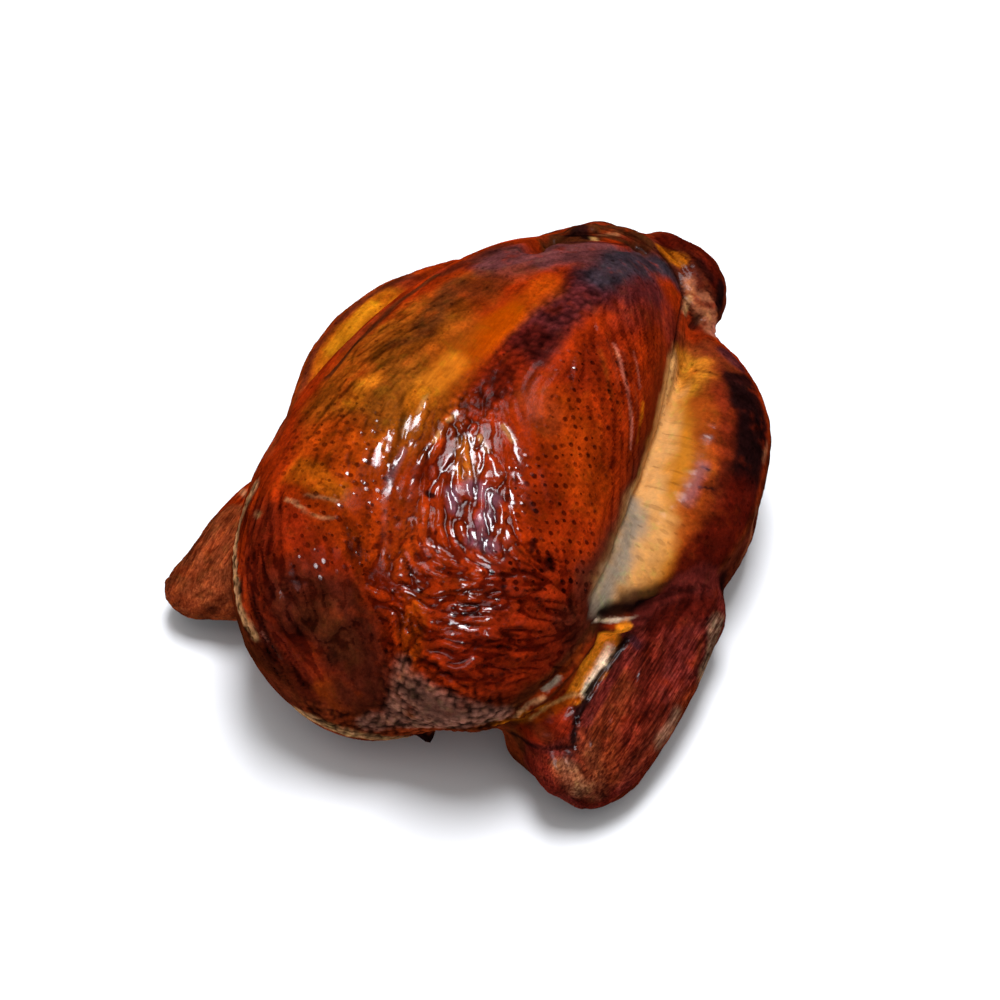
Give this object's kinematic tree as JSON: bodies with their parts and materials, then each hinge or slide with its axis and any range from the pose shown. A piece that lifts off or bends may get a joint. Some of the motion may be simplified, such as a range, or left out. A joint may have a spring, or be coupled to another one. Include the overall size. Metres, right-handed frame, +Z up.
{
  "type": "smoked chicken",
  "caption": "Whole smoked chicken, trussed and lying on its back, with glossy browned skin and its legs and wings pressed to its sides",
  "frame": {"origin": "under the middle of the bird's bounding box, on the table it lies on", "axes": "+Z up, +X toward the bird's right side, -Y toward the neck and +Y toward the tail"},
  "size_m": [0.1922, 0.238, 0.1055],
  "materials": {
    "smoked_skin": "glossy red-brown smoked skin over flesh, nearly black where the smoke caught it"
  },
  "bodies": {
    "root": {"smoked_chicken": "smoked_skin"}
  },
  "joints": []
}
